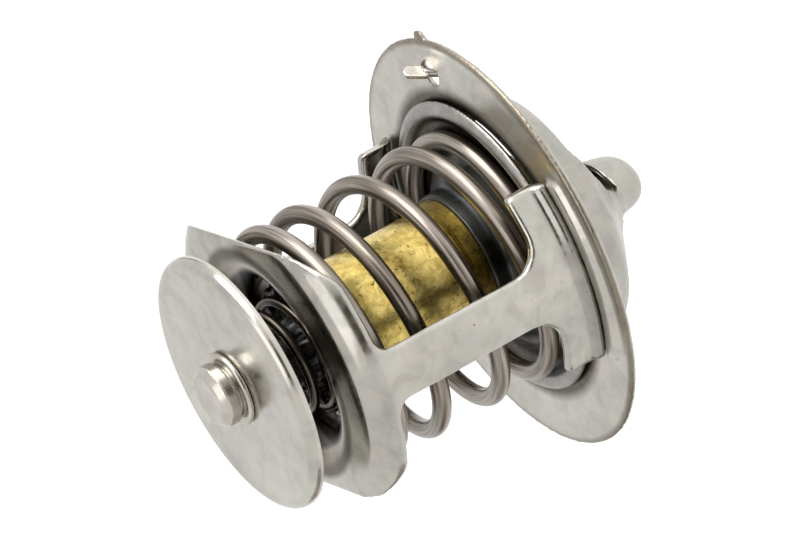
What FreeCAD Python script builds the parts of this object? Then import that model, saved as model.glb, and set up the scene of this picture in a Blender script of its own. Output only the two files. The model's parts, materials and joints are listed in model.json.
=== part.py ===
import FreeCAD, Part
import math
import os

import Sketcher
from FreeCAD import Placement, Rotation, Vector

# Engine thermostat. The origin is at the flange's centre, on the face that the spring side looks out from.
# +Z runs along the axis towards the bypass plate, and the two legs of the lower frame lie along -Y and +Y.

# Driving dimensions, in millimetres and degrees
DIMENSIONS = {
    "valve_radius": 20.0,
    "valve_side_gap": 1.35,
    "valve_overlap": 0.6,
    "flange_margin": 5.2,
    "flange_sheet": 1.0,
    "opening_bend": 0.6,
    "ring_groove_inset": 1.3,
    "ring_groove_width": 0.9,
    "ring_groove_depth": 0.22,
    "rim_front_round": 0.35,
    "rim_back_round": 0.2,
    "dome_draft": 2.6,
    "dome_shoulder_depth": 8.2,
    "dome_shoulder_bend": 5.0,
    "dome_waist_bend": 4.0,
    "nose_root_radius": 5.6,
    "nose_radius": 3.9,
    "nose_depth": 20.0,
    "nose_height": 5.0,
    "nose_bend": 4.1,
    "window_root_inset": 2.8,
    "window_root_rise": 0.4,
    "window_root_round": 1.0,
    "window_arm_inset": 0.9,
    "window_end_inset": 1.2,
    "window_end_drop": 0.6,
    "window_end_round": 1.3,
    "pin_turn_angle": 3.5,
    "tab_width": 2.4,
    "tab_reach": 1.1,
    "tab_sheet": 0.8,
    "vent_radius": 1.75,
    "vent_inset": 4.65,
    "strip_gap": 0.95,
    "strip_width": 2.15,
    "strip_rise": 0.75,
    "frame_sheet": 1.45,
    "frame_height": 33.0,
    "frame_corner_bend": 3.8,
    "frame_clip_gap": 0.35,
    "frame_clip_depth": 0.5,
    "frame_skirt_inset": 4.7,
    "frame_skirt_depth": 3.8,
    "frame_clip_round": 3.0,
    "frame_skirt_round": 4.0,
    "leg_half_width": 3.4,
    "leg_top_round": 1.75,
    "leg_foot_round": 3.5,
    "head_half_width": 12.0,
    "head_height": 5.6,
    "head_corner_round": 0.8,
    "foot_reach": 0.75,
    "foot_bend": 0.65,
    "foot_gap": 0.03,
    "lip_bore_offset": 1.225,
    "lip_bend": 4.6,
    "lip_depth": 6.0,
    "lip_join_inset": 6.8,
    "valve_sheet": 0.8,
    "valve_rim_height": 0.65,
    "valve_bead_height": 1.95,
    "valve_bead_inset": 1.4,
    "valve_bead_bend": 0.5,
    "valve_floor_height": 0.4,
    "valve_floor_inset": 2.8,
    "valve_floor_bend": 0.9,
    "valve_floor_width": 3.8,
    "valve_hub_height": 3.6,
    "collar_radius": 9.4,
    "collar_height": 6.0,
    "hub_bend": 1.2,
    "capsule_radius": 8.4,
    "capsule_wall": 1.1,
    "capsule_drop": 4.4,
    "capsule_round": 1.3,
    "capsule_mouth": -1.5,
    "capsule_crimp_lip": 1.4,
    "capsule_band_radius": 9.0,
    "capsule_band_height": 2.1,
    "capsule_band_slope": 0.4,
    "collar_play": 0.02,
    "guide_tube_radius": 4.2,
    "guide_tube_end": -8.0,
    "guide_tube_round": 0.5,
    "guide_flange_sheet": 2.0,
    "washer_sheet": 0.8,
    "boot_radius": 3.6,
    "boot_wall_end": 1.2,
    "boot_length": 15.5,
    "piston_radius": 2.2,
    "piston_play": 0.05,
    "piston_seat_gap": 0.3,
    "piston_tip_round": 1.0,
    "piston_length": 37.5,
    "inner_play": 0.05,
    "spring_wire": 2.4,
    "spring_offset": 0.35,
    "spring_side_shift": 0.6,
    "spring_seat_gap": 0.05,
    "spring_start_angle": 270.0,
    "stem_radius": 3.5,
    "stem_head_radius": 4.1,
    "stem_neck_gap": 0.6,
    "stem_head_height": 2.25,
    "stem_chamfer": 0.85,
    "stem_bore_play": 0.03,
    "plate_radius": 17.1,
    "plate_gap": 6.6,
    "plate_sheet": 0.9,
    "plate_bore_radius": 4.25,
    "plate_bend": 1.2,
    "plate_rim_depth": 1.6,
    "retainer_radius": 4.9,
    "retainer_height": 0.8,
    "retainer_round": 0.35,
    "small_spring_wire": 1.3,
    "small_spring_wide": 7.6,
    "small_spring_narrow": 5.3,
    "small_spring_turns": 3.5,
    "pin_lean_angle": 38.0,
    "pin_lean_turn_angle": 59.5,
    "pin_shank_radius": 0.6,
    "pin_shank_end": 1.1,
    "pin_head_radius": 1.9,
    "pin_head_start": -2.45,
    "pin_head_height": 1.5,
    "pin_head_round": 0.7,
    "pin_blade_width": 1.9,
    "pin_blade_sheet": 0.6,
    "pin_blade_length": 2.6,
    "pin_blade_round": 0.85,
}
# Two lengths or places closer than this are the same
SAME = 1e-3

document = FreeCAD.newDocument("Thermostat")
sheet = document.addObject("Spreadsheet::Sheet", "Sizes")
for row, (alias, value) in enumerate(DIMENSIONS.items(), start=1):
    sheet.set(f"A{row}", alias)
    sheet.set(f"B{row}", f"{value:g}")
    sheet.setAlias(f"B{row}", alias)
document.recompute()


class Size:
    """A length that is known as a number and as a formula over the sheet's cells."""

    def __init__(self, number, formula):
        self.number = number
        self.formula = formula

    def __add__(self, other):
        other = as_size(other)
        return Size(self.number + other.number, f"({self.formula} + {other.formula})")

    def __sub__(self, other):
        other = as_size(other)
        return Size(self.number - other.number, f"({self.formula} - {other.formula})")

    def __mul__(self, other):
        other = as_size(other)
        return Size(self.number * other.number, f"({self.formula} * {other.formula})")

    def __neg__(self):
        return Size(-self.number, f"(-1 * {self.formula})")

    def half(self):
        return self * 0.5


def as_size(value):
    if isinstance(value, Size):
        return value
    return Size(float(value), f"({value:g})")


def cell(alias):
    return Size(float(sheet.get(alias)), f"Sizes.{alias}")


def bind(thing, path, value):
    """Tie a property or a sketch constraint to the cells that its size comes from."""
    if "Sizes." in value.formula:
        thing.setExpression(path, value.formula)


def new_body(name):
    body = document.addObject("PartDesign::Body", name)
    body.Label = name
    return body


def new_sketch(body, name, role):
    """A sketch on one of its body's own origin planes."""
    sketch = body.newObject("Sketcher::SketchObject", name)
    plane = next(item for item in body.Origin.OriginFeatures if item.Role == role)
    sketch.AttachmentSupport = [(plane, "")]
    sketch.MapMode = "FlatFace"
    return sketch


def raise_sketch(sketch, height):
    """Lift a sketch off its plane along the plane's normal."""
    sketch.AttachmentOffset = Placement(Vector(0, 0, height.number), Rotation())
    bind(sketch, "AttachmentOffset.Base.z", height)


def turn_sketch(sketch, angle):
    """Turn a sketch in its plane, in degrees."""
    height = sketch.AttachmentOffset.Base
    sketch.AttachmentOffset = Placement(height, Rotation(Vector(0, 0, 1), angle.number))
    bind(sketch, "AttachmentOffset.Rotation.Angle", angle)


def hold_point(sketch, geometry, position, x, y):
    """Hold one point of a sketch at its distances from the sketch's origin."""
    for kind, value in (("DistanceX", as_size(x)), ("DistanceY", as_size(y))):
        constraint = Sketcher.Constraint(kind, -1, 1, geometry, position, value.number)
        index = sketch.addConstraint(constraint)
        bind(sketch, f"Constraints[{index}]", value)


def hold_value(sketch, kind, parts, value):
    """Add a constraint with a size, such as a radius or a distance."""
    index = sketch.addConstraint(Sketcher.Constraint(kind, *parts, value.number))
    bind(sketch, f"Constraints[{index}]", value)


def rounding(before, corner, after, radius):
    """Tangent points, centre and side of turn of the arc that rounds a corner."""
    backward = (before - corner).normalize()
    forward = (after - corner).normalize()
    half_angle = backward.getAngle(forward) / 2
    reach = radius / math.tan(half_angle)
    middle = (backward + forward).normalize()
    centre = corner + middle * (radius / math.sin(half_angle))
    turn = (corner - before).cross(after - corner).z
    return corner + backward * reach, corner + forward * reach, centre, turn > 0


def add_arc(sketch, start, end, centre, radius, turns_left):
    """Add an arc and return its number and the names of the points where it is entered and left."""
    start_angle = math.atan2(start.y - centre.y, start.x - centre.x)
    end_angle = math.atan2(end.y - centre.y, end.x - centre.x)
    circle = Part.Circle(centre, Vector(0, 0, 1), radius)
    if turns_left:
        return sketch.addGeometry(Part.ArcOfCircle(circle, start_angle, end_angle), False), 1, 2
    return sketch.addGeometry(Part.ArcOfCircle(circle, end_angle, start_angle), False), 2, 1


def add_chain(sketch, points, radii, closed):
    """Lines through the points, rounded where a radius is given. Returns the lines' and the arcs' numbers."""
    count = len(points)
    starts = list(points)
    ends = list(points)
    arcs = {}
    for index, radius in enumerate(radii):
        if radius is None:
            continue
        before = points[index - 1]
        after = points[(index + 1) % count]
        entry, leave, centre, turns_left = rounding(before, points[index], after, radius.number)
        ends[index] = entry
        starts[index] = leave
        arcs[index] = add_arc(sketch, entry, leave, centre, radius.number, turns_left)
    lines = []
    for index in range(count if closed else count - 1):
        line = Part.LineSegment(starts[index], ends[(index + 1) % count])
        lines.append(sketch.addGeometry(line, False))
    for index in range(0 if closed else 1, count if closed else count - 1):
        incoming = lines[index - 1]
        outgoing = lines[index]
        if index in arcs:
            arc, entered, left = arcs[index]
            sketch.addConstraint(Sketcher.Constraint("Tangent", incoming, 2, arc, entered))
            sketch.addConstraint(Sketcher.Constraint("Tangent", arc, left, outgoing, 1))
            hold_value(sketch, "Radius", (arc,), radii[index])
        else:
            sketch.addConstraint(Sketcher.Constraint("Coincident", incoming, 2, outgoing, 1))
    return lines, arcs


def hold_corners(sketch, lines, arcs, corners, closed):
    """Hold each corner of a chain of lines at its sizes, rounded or not."""
    count = len(corners)
    for index, (x, y) in enumerate(corners):
        if index in arcs:
            point = sketch.addGeometry(Part.Point(Vector(as_size(x).number, as_size(y).number, 0)), True)
            hold_point(sketch, point, 1, x, y)
            sketch.addConstraint(Sketcher.Constraint("PointOnObject", point, 1, lines[index - 1]))
            sketch.addConstraint(Sketcher.Constraint("PointOnObject", point, 1, lines[index]))
        elif closed or index < count - 1:
            hold_point(sketch, lines[index], 1, x, y)
        else:
            hold_point(sketch, lines[-1], 2, x, y)


def split_corners(corners):
    """Places, radii and numeric points of corners given as (x, y) or (x, y, radius)."""
    places = [corner[:2] for corner in corners]
    radii = [corner[2] if len(corner) > 2 else None for corner in corners]
    points = [Vector(as_size(x).number, as_size(y).number, 0) for x, y in places]
    return places, radii, points


def outline(sketch, corners):
    """A closed outline through its corners."""
    places, radii, points = split_corners(corners)
    lines, arcs = add_chain(sketch, points, radii, True)
    hold_corners(sketch, lines, arcs, places, True)


def offset_points(points, distance):
    """The corners of a path moved sideways by a distance, to the left where it is positive."""
    normals = []
    for start, end in zip(points, points[1:]):
        along = (end - start).normalize()
        normals.append(Vector(-along.y, along.x, 0))
    moved = [points[0] + normals[0] * distance]
    for index in range(1, len(points) - 1):
        first = normals[index - 1]
        second = normals[index]
        moved.append(points[index] + (first + second) * (distance / (1 + first.dot(second))))
    moved.append(points[-1] + normals[-1] * distance)
    return moved


def sheet_section(sketch, corners, thickness, left):
    """The section of a pressed sheet: one face follows the corners, the other lies one sheet away."""
    places, radii, points = split_corners(corners)
    lines, arcs = add_chain(sketch, points, radii, False)
    hold_corners(sketch, lines, arcs, places, False)
    mate_points = offset_points(points, thickness.number if left else -thickness.number)
    mate_radii = []
    for index, radius in enumerate(radii):
        if radius is None:
            mate_radii.append(None)
            continue
        turns_left = rounding(points[index - 1], points[index], points[index + 1], radius.number)[3]
        grows = turns_left != left
        mate_radius = radius + thickness if grows else radius - thickness
        mate_radii.append(mate_radius if mate_radius.number > 0.05 else None)
    mates = add_chain(sketch, mate_points, mate_radii, False)[0]
    for line, mate in zip(lines, mates):
        sketch.addConstraint(Sketcher.Constraint("Parallel", line, mate))
        hold_value(sketch, "Distance", (mate, 1, line), thickness)
    for end, side in ((0, 1), (-1, 2)):
        cap = sketch.addGeometry(Part.LineSegment(points[end], mate_points[end]), False)
        sketch.addConstraint(Sketcher.Constraint("Coincident", cap, 1, lines[end], side))
        sketch.addConstraint(Sketcher.Constraint("Coincident", cap, 2, mates[end], side))
        sketch.addConstraint(Sketcher.Constraint("Perpendicular", cap, lines[end]))


def add_circle(sketch, x, y, radius):
    centre = Vector(as_size(x).number, as_size(y).number, 0)
    geometry = sketch.addGeometry(Part.Circle(centre, Vector(0, 0, 1), radius.number), False)
    hold_point(sketch, geometry, 3, x, y)
    hold_value(sketch, "Radius", (geometry,), radius)


def revolve(body, name, sketch, kind="PartDesign::Revolution"):
    feature = body.newObject(kind, name)
    feature.Profile = sketch
    feature.ReferenceAxis = (sketch, ["V_Axis"])
    feature.Angle = 360
    sketch.Visibility = False
    return feature


def pad(body, name, sketch, length, both_ways=False):
    feature = body.newObject("PartDesign::Pad", name)
    feature.Profile = sketch
    feature.Length = length.number
    bind(feature, "Length", length)
    if both_ways:
        feature.SideType = "Symmetric"
    sketch.Visibility = False
    return feature


def cut(body, name, sketch, length, both_ways=False):
    """A pocket that has to take material away."""
    document.recompute()
    volume_before = body.Shape.Volume
    feature = body.newObject("PartDesign::Pocket", name)
    feature.Profile = sketch
    feature.Length = length.number
    bind(feature, "Length", length)
    if both_ways:
        feature.SideType = "Symmetric"
    sketch.Visibility = False
    document.recompute()
    if body.Shape.Volume > volume_before - SAME:
        raise RuntimeError(f"{body.Label}: {name} cuts nothing")
    return feature


def circle_edges(shape, radius, height):
    """Names of the whole or part circles of a radius, about the axis, at a height."""
    names = []
    for number, edge in enumerate(shape.Edges, start=1):
        curve = edge.Curve
        if not isinstance(curve, Part.Circle):
            continue
        centred = math.hypot(curve.Center.x, curve.Center.y) < SAME
        if centred and abs(curve.Radius - radius) < SAME and abs(curve.Center.z - height) < SAME:
            names.append(f"Edge{number}")
    return names


def round_circles(body, name, base, radius, places):
    """Round the circular edges that lie at the given radius and height."""
    document.recompute()
    names = []
    for edge_radius, height in places:
        found = circle_edges(base.Shape, as_size(edge_radius).number, as_size(height).number)
        if not found:
            raise RuntimeError(f"{body.Label}: {name} finds no edge")
        names += found
    feature = body.newObject("PartDesign::Fillet", name)
    feature.Base = (base, names)
    feature.Radius = radius.number
    bind(feature, "Radius", radius)
    return feature


def turned(name, corners):
    """A turned or drawn piece: its outline spun about the axis."""
    body = new_body(name)
    sketch = new_sketch(body, f"{name}_section", "XZ_Plane")
    outline(sketch, corners)
    revolve(body, f"{name}_turned", sketch)
    return body


def pressed(name, corners, thickness, left):
    """A piece pressed from sheet: its section spun about the axis."""
    body = new_body(name)
    sketch = new_sketch(body, f"{name}_section", "XZ_Plane")
    sheet_section(sketch, corners, thickness, left)
    return body, revolve(body, f"{name}_pressed", sketch)


# Sizes that follow from others. The valve plate's radius drives the opening, the frame and the flange.
OPENING_RADIUS = cell("valve_radius") - cell("valve_overlap")
FRAME_RADIUS = cell("valve_radius") + cell("valve_side_gap") + cell("frame_sheet")
FLANGE_RADIUS = FRAME_RADIUS + cell("flange_margin")
VENT_PLACE = FLANGE_RADIUS - cell("vent_inset")
SHOULDER_RADIUS = OPENING_RADIUS - cell("dome_draft")
WAIST_DEPTH = cell("nose_depth") - cell("nose_height")
POCKET_OUTER = cell("valve_radius") - cell("valve_floor_inset")
POCKET_INNER = POCKET_OUTER - cell("valve_floor_width")
COIL_RADIUS = (POCKET_OUTER + POCKET_INNER).half() + cell("spring_offset")
COIL_BORE = COIL_RADIUS - cell("spring_wire").half()
FRAME_CLIP_HALF = COIL_RADIUS + cell("spring_wire").half() + cell("frame_clip_gap")
FRAME_SKIRT_HALF = FRAME_CLIP_HALF - cell("frame_skirt_inset")
LIP_BORE = (cell("capsule_radius") + COIL_BORE).half() - cell("lip_bore_offset")
PISTON_TIP = cell("flange_sheet") + cell("piston_seat_gap") - cell("nose_depth")
PISTON_TOP = PISTON_TIP + cell("piston_length")
CAPSULE_TOP = cell("frame_height") - cell("capsule_drop")
CAPSULE_BORE = cell("capsule_radius") - cell("capsule_wall")
INSIDE_CAPSULE = CAPSULE_BORE - cell("inner_play")
PISTON_BORE = cell("piston_radius") + cell("piston_play")
GUIDE_BOTTOM = cell("capsule_mouth") + cell("capsule_wall") + cell("inner_play")
GUIDE_TOP = GUIDE_BOTTOM + cell("guide_flange_sheet")
WASHER_BOTTOM = GUIDE_TOP + cell("inner_play")
WASHER_TOP = WASHER_BOTTOM + cell("washer_sheet")
BOOT_BOTTOM = WASHER_TOP + cell("inner_play")
BOOT_CEILING = PISTON_TOP + cell("inner_play") * 2
BOOT_TOP = BOOT_CEILING + cell("boot_wall_end")
PLATE_FACE = cell("frame_height") + cell("plate_gap")
RETAINER_TOP = PLATE_FACE + cell("retainer_height")
STEM_NECK_TOP = RETAINER_TOP + cell("stem_neck_gap")
THROUGH = FLANGE_RADIUS * 4


def make_flange():
    """Annular flange, bridge and nose, pressed from one sheet."""
    thickness = cell("flange_sheet")
    body, feature = pressed(
        "flange",
        [
            (FLANGE_RADIUS, -thickness),
            (OPENING_RADIUS, -thickness, cell("opening_bend")),
            (SHOULDER_RADIUS, -cell("dome_shoulder_depth"), cell("dome_shoulder_bend")),
            (cell("nose_root_radius"), -WAIST_DEPTH, cell("dome_waist_bend")),
            (cell("nose_radius"), -cell("nose_depth"), cell("nose_bend")),
            (0, -cell("nose_depth")),
        ],
        thickness,
        False,
    )
    feature = round_circles(body, "rim_front", feature, cell("rim_front_round"), [(FLANGE_RADIUS, 0)])
    round_circles(body, "rim_back", feature, cell("rim_back_round"), [(FLANGE_RADIUS, -thickness)])

    section = new_sketch(body, "ring_groove_section", "XZ_Plane")
    middle = FLANGE_RADIUS - cell("ring_groove_inset")
    half_width = cell("ring_groove_width")
    depth = cell("ring_groove_depth")
    outline(section, [(middle - half_width, depth), (middle, -depth), (middle + half_width, depth)])
    revolve(body, "ring_groove", section, "PartDesign::Groove")

    section = new_sketch(body, "windows_outline", "YZ_Plane")
    root_half = SHOULDER_RADIUS - cell("window_root_inset")
    root_depth = cell("dome_shoulder_depth") - cell("window_root_rise")
    arm_half = (SHOULDER_RADIUS + cell("nose_root_radius")).half() - cell("window_arm_inset")
    arm_depth = (cell("dome_shoulder_depth") + WAIST_DEPTH).half()
    end_half = cell("nose_root_radius") - cell("window_end_inset")
    corners = [
        (root_half, -root_depth, cell("window_root_round")),
        (arm_half, -arm_depth, cell("window_end_round")),
        (end_half, -(WAIST_DEPTH + cell("window_end_drop")), cell("window_end_round")),
    ]
    outline(section, corners + [(-half, height, radius) for half, height, radius in reversed(corners)])
    cut(body, "windows", section, THROUGH, both_ways=True)

    section = new_sketch(body, "vent_outline", "XY_Plane")
    turn_sketch(section, cell("pin_turn_angle"))
    add_circle(section, VENT_PLACE, 0, cell("vent_radius"))
    cut(body, "vent", section, thickness * 4, both_ways=True)

    section = new_sketch(body, "tab_outline", "XY_Plane")
    raise_sketch(section, -thickness)
    turn_sketch(section, cell("pin_turn_angle"))
    half_width = cell("tab_width").half()
    inner = FLANGE_RADIUS - cell("tab_reach")
    outer = FLANGE_RADIUS + cell("tab_reach")
    outline(section, [
        (inner, -half_width),
        (outer, -half_width, half_width * 0.8),
        (outer, half_width, half_width * 0.8),
        (inner, half_width),
    ])
    pad(body, "tab", section, cell("tab_sheet"))

    for side_name, sign in (("front", -1), ("rear", 1)):
        section = new_sketch(body, f"strip_{side_name}_outline", "XY_Plane")
        strip_outline(section, sign)
        pad(body, f"strip_{side_name}", section, cell("strip_rise"))
    return body


def strip_outline(sketch, sign):
    """One strip of the flange that stands over a leg's foot: a band between two arcs, with straight ends."""
    inner = FRAME_RADIUS + cell("strip_gap")
    outer = inner + cell("strip_width")
    half_width = cell("head_half_width")
    ends = []
    for radius in (inner, outer):
        angle = math.asin(half_width.number / radius.number)
        middle = sign * math.pi / 2
        circle = Part.Circle(Vector(), Vector(0, 0, 1), radius.number)
        arc = sketch.addGeometry(Part.ArcOfCircle(circle, middle - angle, middle + angle), False)
        sketch.addConstraint(Sketcher.Constraint("Coincident", arc, 3, -1, 1))
        hold_value(sketch, "Radius", (arc,), radius)
        for position, side in ((1, -sign), (2, sign)):
            x = half_width * -side
            constraint = Sketcher.Constraint("DistanceX", -1, 1, arc, position, x.number)
            bind(sketch, f"Constraints[{sketch.addConstraint(constraint)}]", x)
        ends.append(arc)
    for position, side in ((1, -sign), (2, sign)):
        points = []
        for radius in (inner, outer):
            depth = math.sqrt(radius.number ** 2 - half_width.number ** 2)
            points.append(Vector(-side * half_width.number, sign * depth, 0))
        line = sketch.addGeometry(Part.LineSegment(*points), False)
        sketch.addConstraint(Sketcher.Constraint("Coincident", line, 1, ends[0], position))
        sketch.addConstraint(Sketcher.Constraint("Coincident", line, 2, ends[1], position))


def make_lower_frame():
    """Cup with a turned-in lip, two legs and two T-shaped heads, pressed from one sheet."""
    thickness = cell("frame_sheet")
    top = cell("frame_height")
    radius = FRAME_RADIUS
    lip_join = radius - cell("lip_join_inset")
    foot = cell("foot_gap") + thickness
    body, feature = pressed(
        "lower_frame",
        [
            (lip_join, top),
            (radius, top, cell("frame_corner_bend")),
            (radius, foot, cell("foot_bend")),
            (radius + cell("foot_reach"), foot),
        ],
        thickness,
        False,
    )
    for side_name, sign in (("right", 1), ("left", -1)):
        section = new_sketch(body, f"trim_{side_name}_outline", "XZ_Plane")
        skirt = top - cell("frame_skirt_depth")
        beyond = radius + thickness
        corners = [
            (FRAME_CLIP_HALF, top + thickness),
            (FRAME_CLIP_HALF, top - cell("frame_clip_depth"), cell("frame_clip_round")),
            (FRAME_SKIRT_HALF, skirt, cell("frame_skirt_round")),
            (cell("leg_half_width"), skirt, cell("leg_top_round")),
            (cell("leg_half_width"), cell("head_height"), cell("leg_foot_round")),
            (cell("head_half_width"), cell("head_height"), cell("head_corner_round")),
            (cell("head_half_width"), -thickness),
            (beyond, -thickness),
            (beyond, top + thickness),
        ]
        outline(section, [(corner[0] * sign, *corner[1:]) for corner in corners])
        feature = cut(body, f"trim_{side_name}", section, THROUGH, both_ways=True)

    section = new_sketch(body, "lip_section", "XZ_Plane")
    sheet_section(
        section,
        [
            (LIP_BORE, top - cell("lip_depth")),
            (LIP_BORE, top, cell("lip_bend")),
            (lip_join, top),
        ],
        thickness,
        False,
    )
    revolve(body, "lip", section)
    return body


def make_main_valve():
    """Valve plate with a raised seat ring, a spring pocket and a hub drawn into a collar."""
    floor = cell("valve_floor_height")
    body, _ = pressed(
        "main_valve",
        [
            (cell("valve_radius"), cell("valve_rim_height")),
            (
                cell("valve_radius") - cell("valve_bead_inset"),
                cell("valve_bead_height"),
                cell("valve_bead_bend") + cell("valve_sheet"),
            ),
            (POCKET_OUTER, floor, cell("valve_floor_bend")),
            (POCKET_INNER, floor, cell("hub_bend")),
            (cell("collar_radius"), cell("valve_hub_height"), cell("hub_bend")),
            (cell("collar_radius"), cell("collar_height")),
        ],
        cell("valve_sheet"),
        True,
    )
    return body


def make_capsule_cup():
    """Drawn cup that holds the wax, crimped over the guide's flange at its mouth."""
    radius = cell("capsule_radius")
    collar_bore = cell("collar_radius") - cell("valve_sheet") - cell("collar_play")
    mouth = cell("capsule_mouth")
    band_bottom = cell("collar_height") + cell("collar_play")
    band_top = band_bottom + cell("capsule_band_height")
    wall = cell("capsule_wall")
    return turned("capsule_cup", [
        (0, CAPSULE_TOP),
        (radius, CAPSULE_TOP, cell("capsule_round")),
        (radius, band_top),
        (cell("capsule_band_radius"), band_top - cell("capsule_band_slope")),
        (cell("capsule_band_radius"), band_bottom),
        (collar_bore, band_bottom),
        (collar_bore, mouth, wall.half()),
        (CAPSULE_BORE - cell("capsule_crimp_lip"), mouth),
        (CAPSULE_BORE - cell("capsule_crimp_lip"), mouth + wall),
        (CAPSULE_BORE, mouth + wall),
        (CAPSULE_BORE, CAPSULE_TOP - wall),
        (0, CAPSULE_TOP - wall),
    ])


def make_piston_guide():
    """Guide in the capsule's mouth, with a tube round the piston."""
    return turned("piston_guide", [
        (PISTON_BORE, cell("guide_tube_end")),
        (cell("guide_tube_radius"), cell("guide_tube_end"), cell("guide_tube_round")),
        (cell("guide_tube_radius"), GUIDE_BOTTOM),
        (INSIDE_CAPSULE, GUIDE_BOTTOM),
        (INSIDE_CAPSULE, GUIDE_TOP),
        (PISTON_BORE, GUIDE_TOP),
    ])


def make_backup_washer():
    """Stiff washer between the rubber sleeve and the guide."""
    return turned("backup_washer", [
        (PISTON_BORE, WASHER_BOTTOM),
        (INSIDE_CAPSULE, WASHER_BOTTOM),
        (INSIDE_CAPSULE, WASHER_TOP),
        (PISTON_BORE, WASHER_TOP),
    ])


def make_rubber_boot():
    """Rubber sleeve with a closed end, between the piston and the wax."""
    flange_top = BOOT_BOTTOM + cell("boot_wall_end")
    return turned("rubber_boot", [
        (PISTON_BORE, BOOT_BOTTOM),
        (INSIDE_CAPSULE, BOOT_BOTTOM),
        (INSIDE_CAPSULE, flange_top),
        (cell("boot_radius"), flange_top),
        (cell("boot_radius"), BOOT_TOP, cell("boot_wall_end")),
        (0, BOOT_TOP),
        (0, BOOT_CEILING),
        (PISTON_BORE, BOOT_CEILING),
    ])


def make_wax_charge():
    """The wax, which fills the cup round the rubber sleeve."""
    play = cell("inner_play")
    bottom = BOOT_BOTTOM + cell("boot_wall_end") + play
    inner = cell("boot_radius") + play
    top = CAPSULE_TOP - cell("capsule_wall") - play
    return turned("wax_charge", [
        (inner, bottom),
        (INSIDE_CAPSULE, bottom),
        (INSIDE_CAPSULE, top),
        (0, top),
        (0, BOOT_TOP + play),
        (inner, BOOT_TOP + play),
    ])


def make_piston():
    """Steel piston that stands in the nose."""
    radius = cell("piston_radius")
    return turned("piston", [
        (0, PISTON_TIP), (radius, PISTON_TIP, cell("piston_tip_round")), (radius, PISTON_TOP), (0, PISTON_TOP),
    ])


def make_bypass_stem():
    """Stem on the capsule's end, with a chamfered head."""
    top = STEM_NECK_TOP + cell("stem_head_height")
    head = cell("stem_head_radius")
    return turned("bypass_stem", [
        (0, CAPSULE_TOP),
        (cell("stem_radius"), CAPSULE_TOP),
        (cell("stem_radius"), STEM_NECK_TOP),
        (head, STEM_NECK_TOP),
        (head, top - cell("stem_chamfer")),
        (head - cell("stem_chamfer"), top),
        (0, top),
    ])


def make_stem_ring():
    """Retaining ring that carries the bypass plate on the stem."""
    bore = cell("stem_radius") + cell("stem_bore_play")
    outer = cell("retainer_radius")
    return turned("stem_ring", [
        (bore, PLATE_FACE),
        (outer, PLATE_FACE, cell("retainer_round")),
        (outer, RETAINER_TOP, cell("retainer_round")),
        (bore, RETAINER_TOP),
    ])


def make_bypass_disc():
    """Bypass plate with its rim turned back."""
    body, _ = pressed(
        "bypass_disc",
        [
            (cell("plate_bore_radius"), PLATE_FACE),
            (cell("plate_radius"), PLATE_FACE, cell("plate_bend")),
            (cell("plate_radius"), PLATE_FACE - cell("plate_rim_depth")),
        ],
        cell("plate_sheet"),
        False,
    )
    return body


def wire_round(path, radius):
    """Sweep a round wire along a path of helix edges, and check the volume that comes out."""
    first = path.Edges[0]
    start = first.valueAt(first.FirstParameter)
    along = first.tangentAt(first.FirstParameter)
    section = Part.Wire([Part.makeCircle(radius, start, along)])
    solid = path.makePipeShell([section], True, True)
    expected = path.Length * math.pi * radius ** 2
    if abs(solid.Volume - expected) > 0.02 * expected:
        raise RuntimeError("a spring's volume isn't its wire's section times its length")
    return solid


def solid_feature(name, shape):
    feature = document.addObject("Part::Feature", name)
    feature.Label = name
    feature.Shape = shape
    return feature


def make_main_spring():
    """Return spring between the valve plate and the cup, which sits a little to one side of the axis."""
    wire_radius = cell("spring_wire").number / 2
    gap = cell("spring_seat_gap").number
    low = cell("valve_floor_height").number + gap + wire_radius
    high = cell("frame_height").number - cell("frame_sheet").number - gap - wire_radius
    # Half turns from the valve plate up, each with its share of the height
    half_turns = [0.005, 0.081, 0.133, 0.133, 0.161, 0.147, 0.115, 0.101, 0.077, 0.049]
    angle = cell("spring_start_angle").number
    height = low
    edges = []
    for share in half_turns:
        rise = (high - low) * share / sum(half_turns)
        stretch = Part.makeHelix(rise * 2, rise, COIL_RADIUS.number)
        stretch.rotate(Vector(), Vector(0, 0, 1), angle)
        stretch.translate(Vector(-cell("spring_side_shift").number, 0, height))
        edges += stretch.Edges
        angle += 180
        height += rise
    return solid_feature("main_spring", wire_round(Part.Wire(edges), wire_radius))


def make_bypass_spring():
    """Small conical spring between the capsule's end and the bypass plate."""
    wire_radius = cell("small_spring_wire").number / 2
    gap = cell("spring_seat_gap").number
    low = CAPSULE_TOP.number + gap + wire_radius
    high = PLATE_FACE.number - cell("plate_sheet").number - gap - wire_radius
    wide = cell("small_spring_wide").number
    narrow = cell("small_spring_narrow").number
    rise = high - low
    lean = math.degrees(math.atan((wide - narrow) / rise))
    path = Part.makeHelix(rise / cell("small_spring_turns").number, rise, narrow, lean)
    path.rotate(Vector(), Vector(1, 0, 0), 180)
    path.translate(Vector(0, 0, high))
    return solid_feature("bypass_spring", wire_round(Part.Wire(path.Edges), wire_radius))


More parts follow.
